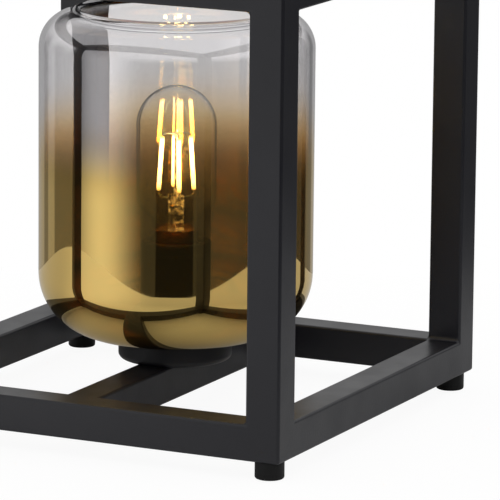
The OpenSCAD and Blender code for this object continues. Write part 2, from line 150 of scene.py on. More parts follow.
def rings(name, t, a, b, h, at=(LAMP_X, 0.0), **options):
    """A surface of rings x = ax + a cos t, y = ay + b sin t, z = h about an upright axis. The radii a and b
    are one number for each height h, or a grid with a row for each t."""
    x = at[0] + a * np.cos(t)[:, None]
    y = at[1] + b * np.sin(t)[:, None]
    return surface(name, np.stack([x, y, np.broadcast_to(h, x.shape)], axis=2), **options)


def revolve(name, outline, turns=96, at=(LAMP_X, 0.0), smooth_angle=35.0):
    """Turns an outline of (radius, height) points about an upright axis: x = ax + r cos t, y = ay + r sin t
    and z = h, for t over one turn."""
    r, h = held(outline).T
    return rings(name, equal_turns(turns), r, r, h, at, smooth_angle=smooth_angle)


def tube_grid(path, radius, sides):
    """Rings along a path. Ring k stands at path[k], square to its tangent, with points
    p + r (cos t · n + sin t · b), where n is one fixed direction made square to the tangent, and
    b = tangent × n. The rings shrink to a point at both ends, over the radius, so that the tube ends in
    a dome."""
    path = np.asarray(path, float)
    tangent = np.gradient(path, axis=0)
    tangent /= np.linalg.norm(tangent, axis=1, keepdims=True)
    nudge = np.array([1e-6, 2e-6, 0.0])     # gives an upright path a side too
    side = np.cross(path[-1] - path[0], [0.0, 0.0, 1.0]) + nudge
    n = side - tangent * (tangent @ side)[:, None]
    n /= np.linalg.norm(n, axis=1, keepdims=True)
    b = np.cross(tangent, n)
    t = equal_turns(sides)[None, :, None]
    wall = path[:, None] + radius * (np.cos(t) * n[:, None] + np.sin(t) * b[:, None])
    cap = np.radians([90.0, 60.0, 30.0])[:, None, None]
    ends = []
    for k, sign in ((0, -1.0), (-1, 1.0)):
        lift = np.sin(cap) * radius * tangent[k] * sign
        ends.append(path[k] + (wall[k] - path[k])[None] * np.cos(cap) + lift)
    return np.concatenate([ends[0], wall, ends[1][::-1]])


def tubes(name, paths, radius, sides):
    """One mesh of several round-ended tubes."""
    bm = bmesh.new()
    for path in paths:
        part = surface(name, tube_grid(path, radius, sides), loop_u=False)
        bm.from_mesh(part)
        bpy.data.meshes.remove(part)
    mesh = bpy.data.meshes.new(name)
    bm.to_mesh(mesh)
    bm.free()
    mesh.polygons.foreach_set("use_smooth", np.ones(len(mesh.polygons), bool))
    return mesh


def curve_through(points):
    """A smooth path through points: on each stretch a cubic whose slopes at its ends are half the step
    between the neighbours (Catmull-Rom)."""
    steps = 8
    p = np.asarray(points, float)
    p = np.concatenate([[2 * p[0] - p[1]], p, [2 * p[-1] - p[-2]]])
    t = (np.arange(steps) / steps)[None, :, None]
    a, b, c, d = (p[i:len(p) - 3 + i, None] for i in range(4))
    slope = (c - a) * t
    bend = (2 * a - 5 * b + 4 * c - d) * t ** 2
    twist = (3 * b - a - 3 * c + d) * t ** 3
    run = 0.5 * (2 * b + slope + bend + twist)
    return np.concatenate([run.reshape(-1, 3), p[-2:-1]])


def cells(name, planes, filled):
    """The outside of a body of boxes. planes are the cuts along X, Y and Z, filled[i, j, k] says which
    boxes are solid, and each wall between a solid and an empty box becomes a face."""
    solid = np.pad(filled, 1)
    corners, faces = [], []
    for axis in range(3):
        side = np.diff(solid.astype(int), axis=axis)
        index = np.argwhere(side != 0)
        u, v = (axis + 1) % 3, (axis + 2) % 3
        for du, dv in ((0, 0), (1, 0), (1, 1), (0, 1)):
            at = index.copy()
            at[:, u] += du
            at[:, v] += dv
            at[:, [u, v]] -= 1
            corners.append(np.stack([planes[k][at[:, k]] for k in range(3)], axis=1))
        start = sum(len(c) for c in corners[:-4])
        count = len(index)
        quad = start + np.arange(4)[None, :] * count + np.arange(count)[:, None]
        faces += quad.tolist()
    mesh = bpy.data.meshes.new(name)
    mesh.from_pydata(np.concatenate(corners), [], faces)
    return tidy(mesh)


# ---- finishes --------------------------------------------------------------------

def put(tree, kind, inputs=None, **settings):
    """Adds a shader node. An input is a plain value or another node's output socket."""
    made = tree.nodes.new(kind)
    for key, value in settings.items():
        setattr(made, key, value)
    for key, value in (inputs or {}).items():
        if isinstance(value, bpy.types.NodeSocket):
            tree.links.new(value, made.inputs[key])
        else:
            made.inputs[key].default_value = value
    return made


def maths(tree, operation, *values):
    """What a maths node makes of numbers or sockets."""
    return put(tree, "ShaderNodeMath", dict(enumerate(values)), operation=operation).outputs[0]


def vector_maths(tree, operation, *values):
    """What a vector maths node makes of vectors, as its outputs."""
    return put(tree, "ShaderNodeVectorMath", dict(enumerate(values)), operation=operation).outputs


def blend(tree, part, a, b):
    """A number that goes from a to b as part goes from 0 to 1."""
    return put(tree, "ShaderNodeMix", {"Factor": part, "A": a, "B": b}).outputs["Result"]


def blend_colours(tree, part, a, b):
    """A colour that goes from a to b as part goes from 0 to 1."""
    made = put(tree, "ShaderNodeMix", {"Factor": part, "A": rgba(a), "B": rgba(b)}, data_type="RGBA")
    return made.outputs["Result"]


def eased(tree, value, low, high, at_low, at_high):
    """A number that eases from at_low to at_high as a value goes from low to high."""
    return put(tree, "ShaderNodeMapRange", {"Value": value, "From Min": low, "From Max": high,
                                           "To Min": at_low, "To Max": at_high},
               interpolation_type="SMOOTHSTEP").outputs["Result"]


def new_finish(name):
    """A material with an empty node tree, its output node and its Object coordinates."""
    finish = bpy.data.materials.new(name)
    finish.use_nodes = True
    tree = finish.node_tree
    tree.nodes.clear()
    output = put(tree, "ShaderNodeOutputMaterial")
    place = put(tree, "ShaderNodeTexCoord").outputs["Object"]
    return finish, tree, output, place


def rgba(colour):
    """A colour of three shares with full cover."""
    return (*colour, 1.0)


def mottled(tree, place, colour, scale, spread):
    """A colour that drifts by plus and minus spread in soft patches."""
    noise = put(tree, "ShaderNodeTexNoise", {"Vector": place, "Scale": scale, "Detail": 3.0})
    dark = [c * (1 - spread) for c in colour]
    light = [min(1.0, c * (1 + spread)) for c in colour]
    return blend_colours(tree, noise.outputs["Fac"], dark, light)


def grain(tree, place, scale, height, detail=2.0):
    """A bump of fine round noise, height in metres."""
    noise = put(tree, "ShaderNodeTexNoise", {"Vector": place, "Scale": scale, "Detail": detail})
    bump = put(tree, "ShaderNodeBump", {"Height": noise.outputs["Fac"], "Distance": height, "Strength": 1.0})
    return bump.outputs["Normal"]


def varied(tree, place, scale, low, high, start=0.3, end=0.7):
    """A number that drifts between low and high in soft patches, as a noise goes from start to end."""
    noise = put(tree, "ShaderNodeTexNoise", {"Vector": place, "Scale": scale, "Detail": 4.0}).outputs["Fac"]
    return put(tree, "ShaderNodeMapRange", {"Value": noise, "From Min": start, "From Max": end,
                                           "To Min": low, "To Max": high}).outputs["Result"]


def powder_coat(name, colour, rough=0.36):
    """Matt powder coat: dark paint with the fine ripple of melted powder."""
    finish, tree, output, place = new_finish(name)
    shader = put(tree, "ShaderNodeBsdfPrincipled", {
        "Base Color": mottled(tree, place, colour, scale=14.0, spread=0.12),
        "Roughness": varied(tree, place, scale=45.0, low=rough - 0.04, high=rough + 0.05),
        "Specular IOR Level": 0.5,
        "Normal": grain(tree, place, scale=700.0, height=0.05 * MM),
    })
    tree.links.new(shader.outputs[0], output.inputs[0])
    return finish


def moulded(name, colour, rough, shine=0.5):
    """Moulded rubber or plastic with a fine spark-eroded grain."""
    finish, tree, output, place = new_finish(name)
    shader = put(tree, "ShaderNodeBsdfPrincipled", {
        "Base Color": mottled(tree, place, colour, scale=60.0, spread=0.1),
        "Roughness": varied(tree, place, scale=160.0, low=rough - 0.05, high=rough + 0.05),
        "Specular IOR Level": shine,
        "Normal": grain(tree, place, scale=900.0, height=0.03 * MM),
    })
    tree.links.new(shader.outputs[0], output.inputs[0])
    return finish


def metal(name, colour, rough):
    """Bare metal with fine lines round its axis, as turning or rolling leaves, from a noise that is finer
    along Z."""
    finish, tree, output, place = new_finish(name)
    lines = put(tree, "ShaderNodeMapping", {
        "Vector": place, "Scale": (300.0, 300.0, 2500.0),
    }).outputs["Vector"]
    shader = put(tree, "ShaderNodeBsdfPrincipled", {
        "Base Color": mottled(tree, place, colour, scale=120.0, spread=0.08),
        "Metallic": 1.0,
        "Roughness": varied(tree, lines, scale=1.0, low=rough * 0.75, high=rough * 1.35),
        "Normal": grain(tree, lines, scale=1.0, height=0.01 * MM),
    })
    tree.links.new(shader.outputs[0], output.inputs[0])
    return finish


def fired_clay(name, colour):
    """Unglazed ceramic: pale, dull and faintly pitted."""
    finish, tree, output, place = new_finish(name)
    shader = put(tree, "ShaderNodeBsdfPrincipled", {
        "Base Color": mottled(tree, place, colour, scale=250.0, spread=0.05),
        "Roughness": 0.7,
        "Normal": grain(tree, place, scale=1500.0, height=0.03 * MM, detail=4.0),
    })
    tree.links.new(shader.outputs[0], output.inputs[0])
    return finish


def soft_rays(tree):
    """1 for shadow rays and rays from dull surfaces, which glass lets through unbent, and 0 for others."""
    path = put(tree, "ShaderNodeLightPath").outputs
    return maths(tree, "MAXIMUM", path["Is Shadow Ray"], path["Is Diffuse Ray"])


def let_through(tree, passing, shader, tint):
    """A shader that a share of the rays passes unbent, in a tint."""
    clear = put(tree, "ShaderNodeBsdfTransparent", {"Color": rgba(tint)}).outputs[0]
    return put(tree, "ShaderNodeMixShader", {0: passing, 1: shader, 2: clear}).outputs[0]


def glass_with_painted_glow(name, colour, ior, painted_glow_colour, least, most):
    """Clear glass with a faint ripple, and a painted glow: an emission that stands in for the filaments'
    light that the glass catches, in the painted glow colour, with a strength that goes between least and
    most in small patches of painted highlight."""
    finish, tree, output, place = new_finish(name)
    glass = put(tree, "ShaderNodeBsdfPrincipled", {
        "Emission Color": rgba(painted_glow_colour),
        "Emission Strength": varied(tree, place, scale=380.0, low=least, high=most, start=0.5, end=0.68),
        "Base Color": rgba(colour),
        "Roughness": 0.0,
        "Transmission Weight": 1.0,
        "IOR": ior,
        "Normal": grain(tree, place, scale=60.0, height=0.02 * MM, detail=0.0),
    })
    passed = let_through(tree, soft_rays(tree), glass.outputs[0], (0.96, 0.96, 0.96))
    tree.links.new(passed, output.inputs[0])
    return finish


def blown_glass(tree, jar, height, ripple):
    """The jar's glass, amber under thick film and smoke above it."""
    clearing = eased(tree, height, jar.tint_low, jar.tint_high, 0.0, 1.0)
    tint = blend_colours(tree, clearing, jar.amber, jar.smoke)
    return put(tree, "ShaderNodeBsdfPrincipled", {
        "Base Color": tint, "Roughness": 0.0, "Transmission Weight": 1.0, "IOR": 1.5, "Normal": ripple,
    }).outputs[0]


def jar_skin(name, jar, filmed):
    """One skin of the jar. The outer one carries the metal film: its share goes from film at fade_low to
    thin_film at fade_high, and its colour from gold at gold_low to silver at gold_high. The heights drift
    with a slow noise."""
    finish, tree, output, place = new_finish(name)
    height = put(tree, "ShaderNodeSeparateXYZ", {"Vector": place}).outputs["Z"]
    drift = put(tree, "ShaderNodeTexNoise", {"Vector": place, "Scale": 9.0, "Detail": 1.0}).outputs["Fac"]
    height = maths(tree, "MULTIPLY_ADD", drift, jar.fade_drift, height)
    ripple = grain(tree, place, scale=22.0, height=0.12 * MM, detail=0.0)
    skin = blown_glass(tree, jar, height, ripple)
    passing = soft_rays(tree)
    if filmed:
        cover = eased(tree, height, jar.fade_low, jar.fade_high, jar.film, jar.thin_film)
        fading = eased(tree, height, jar.gold_low, jar.gold_high, 0.0, 1.0)
        film = put(tree, "ShaderNodeBsdfPrincipled", {
            "Base Color": blend_colours(tree, fading, jar.gold, jar.silver),
            "Metallic": 1.0, "Roughness": 0.02, "Normal": ripple,
        }).outputs[0]
        skin = put(tree, "ShaderNodeMixShader", {0: cover, 1: skin, 2: film}).outputs[0]
        passing = maths(tree, "MULTIPLY", passing, maths(tree, "SUBTRACT", 1.0, cover))
    tree.links.new(let_through(tree, passing, skin, jar.smoke), output.inputs[0])
    return finish


def glowing_phosphor(name, bulb, low, high):
    """Yellow phosphor, lit: bright along its middle and deep yellow at both ends."""
    finish, tree, output, place = new_finish(name)
    height = put(tree, "ShaderNodeSeparateXYZ", {"Vector": place}).outputs["Z"]
    along = put(tree, "ShaderNodeMapRange", {"Value": height, "From Min": low, "From Max": high})
    ramp = put(tree, "ShaderNodeValToRGB", {"Fac": along.outputs["Result"]})
    stops = ramp.color_ramp.elements
    stops[0].position, stops[1].position = 0.0, 1.0
    stops[0].color = stops[1].color = rgba(c * bulb.end_glow for c in bulb.end_colour)
    end = 0.16      # the share of the length over which each end brightens
    for position in (end, 1.0 - end):
        stops.new(position).color = rgba(c * bulb.core_glow for c in bulb.core_colour)
    glow = put(tree, "ShaderNodeEmission", {"Color": ramp.outputs["Color"], "Strength": bulb.glow})
    tree.links.new(glow.outputs[0], output.inputs[0])
    return finish


# ---- placing ---------------------------------------------------------------------

def show(mesh, finish, body, slot, *nodes):
    """Puts a mesh in the scene as a finished piece of a body, in place of the nodes it stands for. The slot
    is not used.
    """
    piece = bpy.data.objects.new(mesh.name, mesh)
    bpy.context.scene.collection.objects.link(piece)
    mesh.materials.append(finish)
    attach(piece, body)
    if nodes:
        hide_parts(*nodes)
    return piece


def dress(finish, *nodes):
    """Gives CAD nodes their finish."""
    for name in nodes:
        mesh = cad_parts[name].data
        mesh.materials.clear()
        mesh.materials.append(finish)


# ---- settings --------------------------------------------------------------------

def length(name, description, default):
    """A setting in metres."""
    return bpy.props.FloatProperty(name=name, description=description, default=default, unit="LENGTH",
                                   precision=5)


def share(name, description, default, high=1.0):
    """A setting from 0 to high."""
    return bpy.props.FloatProperty(name=name, description=description, default=default, min=0.0, max=high)


def angle(name, description, default):
    """A setting in radians."""
    return bpy.props.FloatProperty(name=name, description=description, default=default, subtype="ANGLE")


def colour(name, description, default):
    """A setting of three shares of light."""
    return bpy.props.FloatVectorProperty(name=name, description=description, default=default, size=3,
                                         subtype="COLOR", min=0.0, max=1.0)


class CageSettings(bpy.types.PropertyGroup):
    """Sizes and colours of the cage and feet"""
    edge: length("Edge radius", "Rounding of the tube's outer edges", 1.6 * MM)
    weld: length("Weld radius", "Rounding of the inner corners", 2.6 * MM)
    coat: colour("Coat", "Colour of the powder coat", (0.0058, 0.0058, 0.0092))
    rubber: colour("Feet", "Colour of the rubber feet", (0.006, 0.006, 0.006))


class JarSettings(bpy.types.PropertyGroup):
    """Shape of the jar and its metal film"""
    wall: length("Wall", "Thickness of the glass", 3 * MM)
    floor: length("Floor", "Thickness of the jar's floor", 4 * MM)
    base_r: length("Base radius", "Radius where the wall turns into the floor", 36 * MM)
    shoulder_r: length("Shoulder radius", "Radius of the shoulder", 20 * MM)
    rim: length("Rim", "Thickness of the rolled rim", 5 * MM)
    rim_r: length("Rim place", "Distance of the rim's middle from the axis", 56 * MM)
    drop: length("Rim height", "How far the rim stands over the shoulder", 2 * MM)
    hole_r: length("Hole", "Radius of the hole in the jar's floor", 22 * MM)
    gold: colour("Gold", "Colour of the full metal film", (0.78, 0.555, 0.185))
    silver: colour("Silver", "Colour of the thinned film", (0.92, 0.90, 0.93))
    smoke: colour("Smoke", "Tint of the bare glass", (0.94, 0.93, 0.935))
    amber: colour("Amber", "Tint of the glass under thick film", (0.94, 0.68, 0.34))
    film: share("Film share", "How much the full film covers", 0.86)
    thin_film: share("Thin film share", "How much the thinned film covers", 0.26)
    fade_low: length("Fade start", "Height at which the film starts to thin", 129 * MM)
    fade_high: length("Fade end", "Height at which the film is thinnest", 169 * MM)
    gold_low: length("Gold end", "Height up to which the film is gold", 141 * MM)
    gold_high: length("Silver start", "Height from which the film is silver", 181 * MM)
    fade_drift: length("Fade drift", "How far the fade wanders up and down", 6 * MM)
    tint_low: length("Tint start", "Height up to which the glass is amber", 148 * MM)
    tint_high: length("Tint end", "Height from which the glass is smoke", 190 * MM)


class BulbSettings(bpy.types.PropertyGroup):
    """Shape of the bulb and its light"""
    wall: length("Wall", "Thickness of the bulb's glass", 1 * MM)
    neck_rise: length("Neck", "Height of the glass over the cap before it swells", 2 * MM)
    swell: length("Swell", "Height over which the glass widens", 14 * MM)
    pitch: length("Pitch", "Rise of the thread in one turn", 3.6 * MM)
    thread: length("Thread depth", "Depth of the thread", 1 * MM)
    thread_height: length("Thread height", "Height of the threaded part", 13.6 * MM)
    cap: colour("Cap", "Colour of the cap's brass", (0.62, 0.33, 0.16))
    core_colour: colour("Core colour", "Colour of a filament's hot middle", (1.0, 0.80, 0.30))
    end_colour: colour("End colour", "Colour of a filament's ends", (1.0, 0.50, 0.06))
    core_glow: share("Core share", "Brightness of the middle", 1.0)
    end_glow: share("End share", "Brightness of the ends", 0.10)
    glow: share("Glow", "Strength of the filaments' light", 24.0, 50.0)
    # painted glow: the colour and strengths of an emission on the bulb's glass and the stem that stands in
    # for the filaments' light on them
    painted_glow_colour: colour("Caught light", "Colour of the light that the bulb's glass catches", (1.0, 0.70, 0.27))
    painted_bulb_glow: share("Haze", "Strength of that light on the bulb", 0.012)
    painted_stem_glow: share("Stem glow", "Strength of that light in the brightest spots of the stem", 2.4, 10.0)


class StageSettings(bpy.types.PropertyGroup):
    """The camera, the table and the studio"""
    camera_at: bpy.props.FloatVectorProperty(name="Camera", description="Place of the camera", size=3,
                                             subtype="TRANSLATION", default=(1.1523, -2.2819, 0.6025))
    lens: bpy.props.FloatProperty(name="Lens", description="Focal length in millimetres", default=334.53)
    yaw: angle("Yaw", "Turn of the view to the left", 0.4503)
    pitch: angle("Pitch", "How far the view looks down", 0.1974)
    roll: angle("Roll", "Turn of the picture", 0.0099)
    floor_turn: angle("Floor turn", "Direction of the table's front edge", math.radians(-65.0))
    floor_depth: length("Floor depth", "Half the depth of the table", 0.42)
    floor_width: length("Floor width", "Half the width of the table", 0.57)
    floor_ahead: length("Floor place", "How far the table's middle stands in front of the lamp", 0.03)
    # painted shade: how dim the table's colour is made for mirrors away from the light
    floor_painted_shade: share("Floor dim", "Brightness of the table in mirrors away from the light", 0.57)
    floor_round: share("Floor corners", "Power of the table's rounded outline", 2.0, 8.0)
    floor_white: share("Floor whiteness", "How far the floor is lifted to white for the camera", 0.93)
    dim: share("Unlit level", "Brightness of the studio's unlit sides", 0.055)
    up: share("Upper level", "Brightness of the studio above the lamp", 0.75)
    light: share("Light", "Brightness of the plain surrounding light", 1.0, 4.0)


SETTINGS = {
    "lamp_cage": CageSettings,
    "lamp_jar": JarSettings,
    "lamp_bulb": BulbSettings,
    "lamp_stage": StageSettings,
}


# ---- cage and feet ---------------------------------------------------------------

class LAMP_OT_cage(bpy.types.Operator):
    """The welded cage of square tube with its crossbar"""
    bl_idname = "lamp.cage"
    bl_label = "Welded Cage"

    def execute(self, context):
        s = context.scene.lamp_cage
        low = span("post_front_left")[0]
        high = span("post_back_right")[1]
        bottom_high = span("bottom_rail_front")[1][2]
        top_low = span("top_rail_front")[0][2]
        bar_low, bar_high = span("crossbar")
        tube = bottom_high - low[2]
        planes = [
            np.array([low[0], low[0] + tube, bar_low[0], bar_high[0], high[0] - tube, high[0]]),
            np.array([low[1], low[1] + tube, high[1] - tube, high[1]]),
            np.array([low[2], bottom_high, top_low, high[2]]),
        ]
        # boxes that are outermost in two directions are the cage, and the middle ones at the bottom the bar
        counts = [len(cuts) - 1 for cuts in planes]
        place = np.indices(counts)
        outer = [(at == 0) | (at == count - 1) for at, count in zip(place, counts)]
        filled = np.sum(outer, axis=0) >= 2
        filled |= (place[0] == counts[0] // 2) & (place[2] == 0)
        mesh = cells("welded_cage", planes, filled)
        round_edges(mesh, s.edge, s.weld)
        piece = show(mesh, powder_coat("powder_coat", s.coat), "lamp", "cage_coat", *CAGE_NODES)
        bevel = piece.modifiers.new("rounding", "BEVEL")
        bevel.limit_method = "WEIGHT"
        bevel.width = s.weld
        bevel.segments = 4
        bevel.harden_normals = True
        bevel.use_clamp_overlap = True
        return {"FINISHED"}


def round_edges(mesh, convex, concave):
    """Writes each edge's share of the bevel: 1 where two faces meet in a hollow corner, and the outer
    radius over the inner one where they meet in an outer corner. Edges within a flat face get none."""
    flat = 0.5      # radians
    bm = bmesh.new()
    bm.from_mesh(mesh)
    weight = bm.edges.layers.float.new("bevel_weight_edge")
    for edge in bm.edges:
        if edge.calc_face_angle(0.0) > flat:
            edge[weight] = convex / concave if edge.is_convex else 1.0
    bm.to_mesh(mesh)
    bm.free()


class LAMP_OT_feet(bpy.types.Operator):
    """Four round rubber feet, each with a recess for its screw"""
    bl_idname = "lamp.feet"
    bl_label = "Rubber Feet"

    def execute(self, context):
        finish = moulded("foot_rubber", context.scene.lamp_cage.rubber, 0.45, shine=0.2)
        hole = 2.2 * MM
        recess, deep, lip = 4.1 * MM, 5 * MM, 0.5 * MM
        sole, brim = 1.3 * MM, 0.4 * MM
        for name in FOOT_NODES:
            low, high, r = round_span(name)
            outline = join(
                (hole, high[2]), (hole, low[2] + deep), (recess, low[2] + deep),
                arc(recess + lip, low[2] + lip, lip, 180, 270, 4),
                arc(r - sole, low[2] + sole, sole, -90, 0, 7),
                arc(r - brim, high[2] - brim, brim, 0, 90, 4),
            )
            mesh = revolve("rubber_" + name, outline, 48, tuple((low[:2] + high[:2]) / 2))
            show(mesh, finish, "lamp", "foot_rubber", name)
        dress(metal("screw_zinc", (0.55, 0.55, 0.57), 0.3), "foot_screws")
        return {"FINISHED"}


# ---- cup, gaskets and clamping ---------------------------------------------------

class LAMP_OT_cup(bpy.types.Operator):
    """The pressed steel cup under the jar, its gaskets and the fittings that clamp it"""
    bl_idname = "lamp.cup"
    bl_label = "Cup and Clamping"

    def execute(self, context):
        s = context.scene.lamp_cage
        low, high, r = round_span("seat_cup")
        hole, sheet, edge, lip = 5.2 * MM, 1.5 * MM, 3 * MM, 0.5 * MM
        outline = join(
            (hole, low[2]),
            arc(r - edge, low[2] + edge, edge, -90, 0, 9),
            arc(r - lip, high[2] - lip, lip, 0, 90, 4),
            arc(r - sheet + lip, high[2] - lip, lip, 90, 180, 4),
            arc(r - edge, low[2] + edge, edge - sheet, 0, -90, 7),
            (hole, low[2] + sheet),
        )
        cup = revolve("pressed_cup", outline, 128)
        # the cup's coat is the cage's coat at 0.6 of its brightness: painted shade, so that the cup looks
        # dimmer than the cage
        painted_shade_coat = [0.6 * c for c in s.coat]
        show(cup, powder_coat("cup_coat", painted_shade_coat, 0.4), "lamp", "cup_coat", "seat_cup")
        dress(moulded("gasket_rubber", s.rubber, 0.6), "jar_gasket", "ring_gasket")
        zinc = metal("plated_zinc", (0.58, 0.58, 0.6), 0.28)
        dress(zinc, "bar_nut", "threaded_tube", "lock_washer", "lock_nut")
        dress(moulded("outlet_plastic", (0.012, 0.012, 0.012), 0.4), "lead_bush")
        return {"FINISHED"}


# ---- jar -------------------------------------------------------------------------

def jar_outline(s, low, high, r):
    """The jar's section: round base, straight wall, round shoulder, rolled rim, then back down the inside.
    The shoulder's outer arc ends just inside the rim's outer side, and arcs that stop short of each other
    are joined by straight stretches."""
    shoulder_z = high - s.drop - s.shoulder_r
    rim_z = high - s.rim / 2
    bead = s.rim / 2
    hole_edge = 1 * MM
    meet = math.degrees(math.acos((s.rim_r + 0.9 * bead - (r - s.shoulder_r)) / s.shoulder_r))
    return join(
        (s.hole_r, low), (r - s.base_r, low),
        arc(r - s.base_r, low + s.base_r, s.base_r, -84, 0, 24),
        arc(r - s.shoulder_r, shoulder_z, s.shoulder_r, 0, meet, 22),
        arc(s.rim_r, rim_z, bead, 30, 262, 18),
        arc(r - s.shoulder_r, shoulder_z, s.shoulder_r - s.wall, 88, 0, 18),
        arc(r - s.base_r, low + s.floor + s.base_r - s.wall, s.base_r - s.wall, 0, -90, 22),
        arc(s.hole_r + hole_edge, low + s.floor - hole_edge, hole_edge, 90, 180, 4),
    )


class LAMP_OT_jar(bpy.types.Operator):
    """The blown glass jar with its metal film that fades out upwards"""
    bl_idname = "lamp.jar"
    bl_label = "Glass Jar"

    def execute(self, context):
        s = context.scene.lamp_jar
        outline = jar_outline(s, JAR_LOW[2], JAR_HIGH[2], JAR_R)
        jar = revolve("blown_jar", outline, 192, smooth_angle=60.0)
        show(jar, jar_skin("film_skin", s, True), "lamp", "jar_glass", "glass_jar")
        jar.materials.append(jar_skin("bare_skin", s, False))
        # faces that look towards the jar's middle are its inner skin, which has no film
        middle = np.array([LAMP_X, 0.0, (JAR_LOW[2] + JAR_HIGH[2]) / 2])
        centres = np.empty((len(jar.polygons), 3))
        normals = np.empty_like(centres)
        jar.polygons.foreach_get("center", centres.ravel())
        jar.polygons.foreach_get("normal", normals.ravel())
        inwards = np.sum((middle - centres) * normals, axis=1) > 0
        jar.polygons.foreach_set("material_index", inwards.astype(int))
        return {"FINISHED"}


# ---- lampholder ------------------------------------------------------------------

class LAMP_OT_holder(bpy.types.Operator):
    """The lampholder: base, sleeve, clamping ring, core and contacts"""
    bl_idname = "lamp.holder"
    bl_label = "Lampholder"

    def execute(self, context):
        plastic = moulded("holder_plastic", (0.008, 0.008, 0.008), 0.35)
        low, high, r = round_span("holder_sleeve")
        bore, lip_bore, lip = r - 2.4 * MM, 14.6 * MM, 2 * MM
        groove_z, groove = high[2] - 6 * MM, 0.5 * MM
        chamfer, edge, soft = 0.3 * MM, 1 * MM, 0.4 * MM
        outline = join(
            (bore, low[2]), (r - chamfer, low[2]), (r, low[2] + chamfer),
            arc(r, groove_z, groove, 270, 90, 5),
            arc(r - edge, high[2] - edge, edge, 0, 90, 6),
            arc(lip_bore + soft, high[2] - soft, soft, 90, 180, 4),
            (lip_bore, high[2] - lip), (bore, high[2] - lip),
        )
        show(revolve("smooth_sleeve", outline), plastic, "lamp", "holder_plastic", "holder_sleeve")
        dress(plastic, "holder_base")
        show(ribbed_ring(), plastic, "ring", "holder_plastic", "clamping_ring")
        dress(fired_clay("core_ceramic", (0.78, 0.75, 0.68)), "holder_core")
        dress(metal("contact_brass", (0.70, 0.50, 0.20), 0.3), "screw_shell", "centre_contact", "terminals")
        dress(metal("terminal_zinc", (0.6, 0.6, 0.62), 0.3), "terminal_screws")
        return {"FINISHED"}


def ribbed_ring():
    """The clamping ring: a flange and a hub whose radius is hub + rib · max(0, cos n t)² between its ends,
    with n ribs round it."""
    low, high, flange = round_span("clamping_ring")
    flange_h, soft = 2.5 * MM, 0.5 * MM
    hub, bore = 23.1 * MM, 20.1 * MM
    rib, ribs = 0.9 * MM, 24
    outline = join(
        (bore, low[2]),
        arc(flange - soft, low[2] + soft, soft, -90, 0, 4),
        arc(flange - soft, low[2] + flange_h - soft, soft, 0, 90, 4),
        (hub + soft, low[2] + flange_h), (hub, low[2] + flange_h + soft),
        (hub, high[2] - 2 * soft), (hub - soft, high[2] - soft), (hub - 2 * soft, high[2]),
        (bore, high[2]),
    )
    # the ribs stand in full on the hub's straight stretch and to half on the points beside it
    ribbed = np.zeros(len(outline))
    ribbed[10:12] = rib
    ribbed[9] = ribbed[12] = rib / 2
    t = equal_turns(ribs * 10)
    wave = np.maximum(0.0, np.cos(ribs * t)) ** 2
    r = outline[:, 0] + wave[:, None] * ribbed
    return rings("ribbed_ring", t, r, r, outline[:, 1])


# ---- bulb ------------------------------------------------------------------------

def bulb_outline(s, low, high, neck, r):
    """The bulb's section: a straight neck, then a swell r(u) = neck + (r - neck) (1 - cos πu) / 2 over its
    height, a straight wall and a half-round dome, and back down inside it at the wall's thickness."""
    cap_top = span("bulb_cap")[1][2]
    u = np.linspace(0.0, 1.0, 25)

    def skin(inset):
        swell = np.stack([neck - inset + (r - neck) * (1 - np.cos(math.pi * u)) / 2,
                          cap_top + s.neck_rise + s.swell * u], axis=1)
        dome = arc(0.0, high - r, r - inset, 0, 90, 29)
        dome[-1, 0] = 0.0
        return join((neck - inset, low), swell, dome)

    return join(skin(0.0), skin(s.wall)[::-1])


class LAMP_OT_bulb_glass(bpy.types.Operator):
    """The bulb's clear glass and the pinched stem inside it"""
    bl_idname = "lamp.bulb_glass"
    bl_label = "Bulb Glass"

    def execute(self, context):
        s = context.scene.lamp_bulb
        low, high, r = round_span("bulb_glass")
        neck = 12.4 * MM
        glass = revolve("clear_bulb", bulb_outline(s, low[2], high[2], neck, r), smooth_angle=80.0)
        # the bulb's glass and the stem carry painted glow, an emission that stands in for the filaments'
        # light that they catch
        clear = glass_with_painted_glow("bulb_glass_painted_glow", (0.97, 0.96, 0.93), ior=1.18,
                            painted_glow_colour=s.painted_glow_colour, least=s.painted_bulb_glow, most=s.painted_bulb_glow)
        show(glass, clear, "bulb", "bulb_glass", "bulb_glass")
        lit = glass_with_painted_glow("stem_glass_painted_glow", (0.95, 0.95, 0.93), ior=1.46,
                          painted_glow_colour=s.painted_glow_colour, least=0.02, most=s.painted_stem_glow)
        show(stem(), lit, "bulb", "stem_glass", "bulb_stem")
        return {"FINISHED"}


